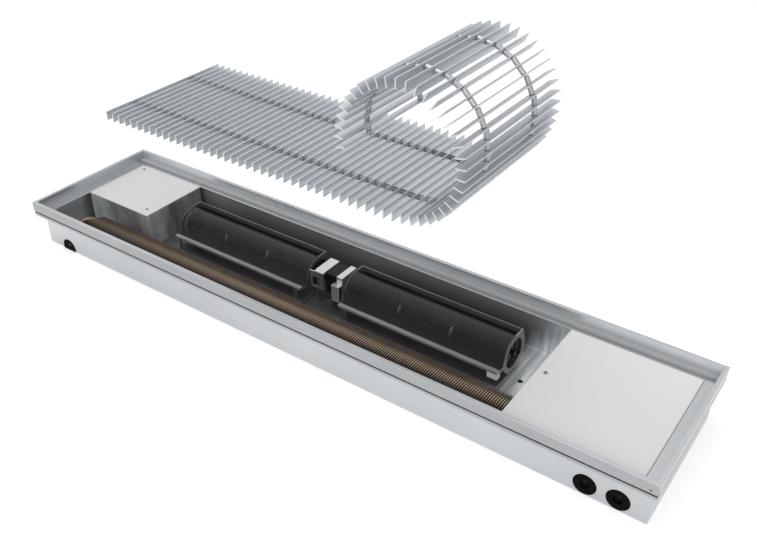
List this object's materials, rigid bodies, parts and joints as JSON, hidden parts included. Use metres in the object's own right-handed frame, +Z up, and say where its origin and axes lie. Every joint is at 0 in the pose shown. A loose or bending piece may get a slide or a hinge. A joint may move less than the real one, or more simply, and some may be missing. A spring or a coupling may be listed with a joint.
{
  "type": "trench convector heater",
  "caption": "Long floor-trench convector: sheet casing with rim, finned heat exchanger, two crossflow fans and a motor, control box, covers and a lifted, half rolled-up slat grille.",
  "frame": {"origin": "middle of the casing's base", "axes": "+X along the trench towards the pipe entries, +Y away from the pipe side, +Z up"},
  "size_m": [1.5, 0.34, 0.6394],
  "materials": {
    "casing": "satin",
    "rim": "satin",
    "strip": "matt",
    "screw": "satin",
    "seal": "matt",
    "cover": "matt",
    "galvanised": "spangled",
    "board": "matt",
    "dark_plastic": "matt",
    "white_plastic": "matt",
    "fins": "satin",
    "copper": "satin",
    "nickel": "satin",
    "brass": "satin",
    "fan_grey": "satin",
    "guard": "satin",
    "lip_rail": "satin",
    "impeller": "satin",
    "core": "matt",
    "shaft_steel": "satin",
    "bracket": "satin",
    "slat": "anodised",
    "spacer": "satin"
  },
  "bodies": {
    "trench": {"tray": "casing", "end_plates": "casing", "near_rim_rail": "rim", "far_rim_rail": "rim", "left_rim_rail": "rim", "right_rim_rail": "rim", "rest_strips": "strip", "screws": "screw", "entry_seals": "seal", "right_cover": "cover", "cover_supports": "casing", "control_box": "galvanised", "box_cover": "cover", "circuit_board": "board", "power_supply": "dark_plastic", "terminal_strip": "white_plastic", "fin_pack": "fins", "exchanger_tubes": "copper", "copper_bends": "copper", "exchanger_plates": "galvanised", "thermostat_valve": "nickel", "valve_actuator": "white_plastic", "lockshield_valve": "nickel", "bleed_valve": "nickel", "fan_housings": "fan_grey", "fan_guards": "guard", "lip_rails": "lip_rail", "rail_legs": "fan_grey", "white_block": "white_plastic", "fan_pads": "seal", "end_spiders": "dark_plastic", "shaft_bushes": "brass", "motor_core": "core", "motor_coil": "copper", "left_bracket": "bracket", "right_bracket": "bracket"},
    "grille_flat": {"grille_slats": "slat", "grille_spacers": "spacer", "grille_springs": "shaft_steel"},
    "link_01": {"roll_01": "slat"},
    "link_02": {"roll_02": "slat"},
    "link_03": {"roll_03": "slat"},
    "link_04": {"roll_04": "slat"},
    "link_05": {"roll_05": "slat"},
    "link_06": {"roll_06": "slat"},
    "link_07": {"roll_07": "slat"},
    "link_08": {"roll_08": "slat"},
    "link_09": {"roll_09": "slat"},
    "link_10": {"roll_10": "slat"},
    "link_11": {"roll_11": "slat"},
    "link_12": {"roll_12": "slat"},
    "link_13": {"roll_13": "slat"},
    "link_14": {"roll_14": "slat"},
    "link_15": {"roll_15": "slat"},
    "link_16": {"roll_16": "slat"},
    "rotor": {"impellers": "impeller", "motor_rotor": "shaft_steel"},
    "lockshield": {"lockshield_spindle": "brass"},
    "bleed": {"bleed_screw": "brass"},
    "pin": {"valve_pin": "brass"}
  },
  "joints": [
    {"name": "grille_lift", "type": "slide", "parent": "trench", "child": "grille_flat", "axis": [-0.7021, 0, -0.7121], "range_m": [0, 0.4258]},
    {"name": "grille_roll", "type": "hinge", "parent": "grille_flat", "child": "link_01", "pos_m": [0.2563, 0, 0.405], "axis": [0, -1, 0], "range_deg": [-8.9, 0]},
    {"name": "link_02_turn", "type": "hinge", "parent": "link_01", "child": "link_02", "pos_m": [0.29089, 0, 0.41042], "axis": [0, -1, 0], "range_deg": [-17.8, 0]},
    {"name": "link_03_turn", "type": "hinge", "parent": "link_02", "child": "link_03", "pos_m": [0.32217, 0, 0.42615], "axis": [0, -1, 0], "range_deg": [-17.8, 0]},
    {"name": "link_04_turn", "type": "hinge", "parent": "link_03", "child": "link_04", "pos_m": [0.34714, 0, 0.45069], "axis": [0, -1, 0], "range_deg": [-17.8, 0]},
    {"name": "link_05_turn", "type": "hinge", "parent": "link_04", "child": "link_05", "pos_m": [0.36342, 0, 0.48169], "axis": [0, -1, 0], "range_deg": [-17.8, 0]},
    {"name": "link_06_turn", "type": "hinge", "parent": "link_05", "child": "link_06", "pos_m": [0.36944, 0, 0.51618], "axis": [0, -1, 0], "range_deg": [-17.8, 0]},
    {"name": "link_07_turn", "type": "hinge", "parent": "link_06", "child": "link_07", "pos_m": [0.36462, 0, 0.55086], "axis": [0, -1, 0], "range_deg": [-17.8, 0]},
    {"name": "link_08_turn", "type": "hinge", "parent": "link_07", "child": "link_08", "pos_m": [0.34944, 0, 0.58241], "axis": [0, -1, 0], "range_deg": [-17.8, 0]},
    {"name": "link_09_turn", "type": "hinge", "parent": "link_08", "child": "link_09", "pos_m": [0.32534, 0, 0.6078], "axis": [0, -1, 0], "range_deg": [-17.8, 0]},
    {"name": "link_10_turn", "type": "hinge", "parent": "link_09", "child": "link_10", "pos_m": [0.29463, 0, 0.62462], "axis": [0, -1, 0], "range_deg": [-17.8, 0]},
    {"name": "link_11_turn", "type": "hinge", "parent": "link_10", "child": "link_11", "pos_m": [0.26025, 0, 0.63124], "axis": [0, -1, 0], "range_deg": [-17.8, 0]},
    {"name": "link_12_turn", "type": "hinge", "parent": "link_11", "child": "link_12", "pos_m": [0.22549, 0, 0.62703], "axis": [0, -1, 0], "range_deg": [-17.8, 0]},
    {"name": "link_13_turn", "type": "hinge", "parent": "link_12", "child": "link_13", "pos_m": [0.19368, 0, 0.6124], "axis": [0, -1, 0], "range_deg": [-17.8, 0]},
    {"name": "link_14_turn", "type": "hinge", "parent": "link_13", "child": "link_14", "pos_m": [0.16787, 0, 0.58875], "axis": [0, -1, 0], "range_deg": [-17.8, 0]},
    {"name": "link_15_turn", "type": "hinge", "parent": "link_14", "child": "link_15", "pos_m": [0.15052, 0, 0.55834], "axis": [0, -1, 0], "range_deg": [-17.8, 0]},
    {"name": "link_16_turn", "type": "hinge", "parent": "link_15", "child": "link_16", "pos_m": [0.1433, 0, 0.52408], "axis": [0, -1, 0], "range_deg": [-17.8, 0]},
    {"name": "fan_spin", "type": "hinge", "parent": "trench", "child": "rotor", "pos_m": [-0.0413, 0.061, 0.045], "axis": [1, 0, 0], "continuous": true},
    {"name": "lockshield_turn", "type": "hinge", "parent": "trench", "child": "lockshield", "pos_m": [0.63, -0.1, 0.024], "axis": [0, 1, 0], "range_deg": [-540, 540]},
    {"name": "bleed_turn", "type": "hinge", "parent": "trench", "child": "bleed", "pos_m": [0.534, -0.119, 0.07], "axis": [0, 0, 1], "range_deg": [0, 360]},
    {"name": "valve_pin_press", "type": "slide", "parent": "trench", "child": "pin", "axis": [0, -1, 0], "range_m": [0, 0.003], "stiffness_N_per_m": 1500, "springref_m": -0.002}
  ],
  "couplings": [
    {"joint": "link_02_turn", "follows": "grille_roll", "ratio": 2},
    {"joint": "link_03_turn", "follows": "grille_roll", "ratio": 2},
    {"joint": "link_04_turn", "follows": "grille_roll", "ratio": 2},
    {"joint": "link_05_turn", "follows": "grille_roll", "ratio": 2},
    {"joint": "link_06_turn", "follows": "grille_roll", "ratio": 2},
    {"joint": "link_07_turn", "follows": "grille_roll", "ratio": 2},
    {"joint": "link_08_turn", "follows": "grille_roll", "ratio": 2},
    {"joint": "link_09_turn", "follows": "grille_roll", "ratio": 2},
    {"joint": "link_10_turn", "follows": "grille_roll", "ratio": 2},
    {"joint": "link_11_turn", "follows": "grille_roll", "ratio": 2},
    {"joint": "link_12_turn", "follows": "grille_roll", "ratio": 2},
    {"joint": "link_13_turn", "follows": "grille_roll", "ratio": 2},
    {"joint": "link_14_turn", "follows": "grille_roll", "ratio": 2},
    {"joint": "link_15_turn", "follows": "grille_roll", "ratio": 2},
    {"joint": "link_16_turn", "follows": "grille_roll", "ratio": 2}
  ]
}
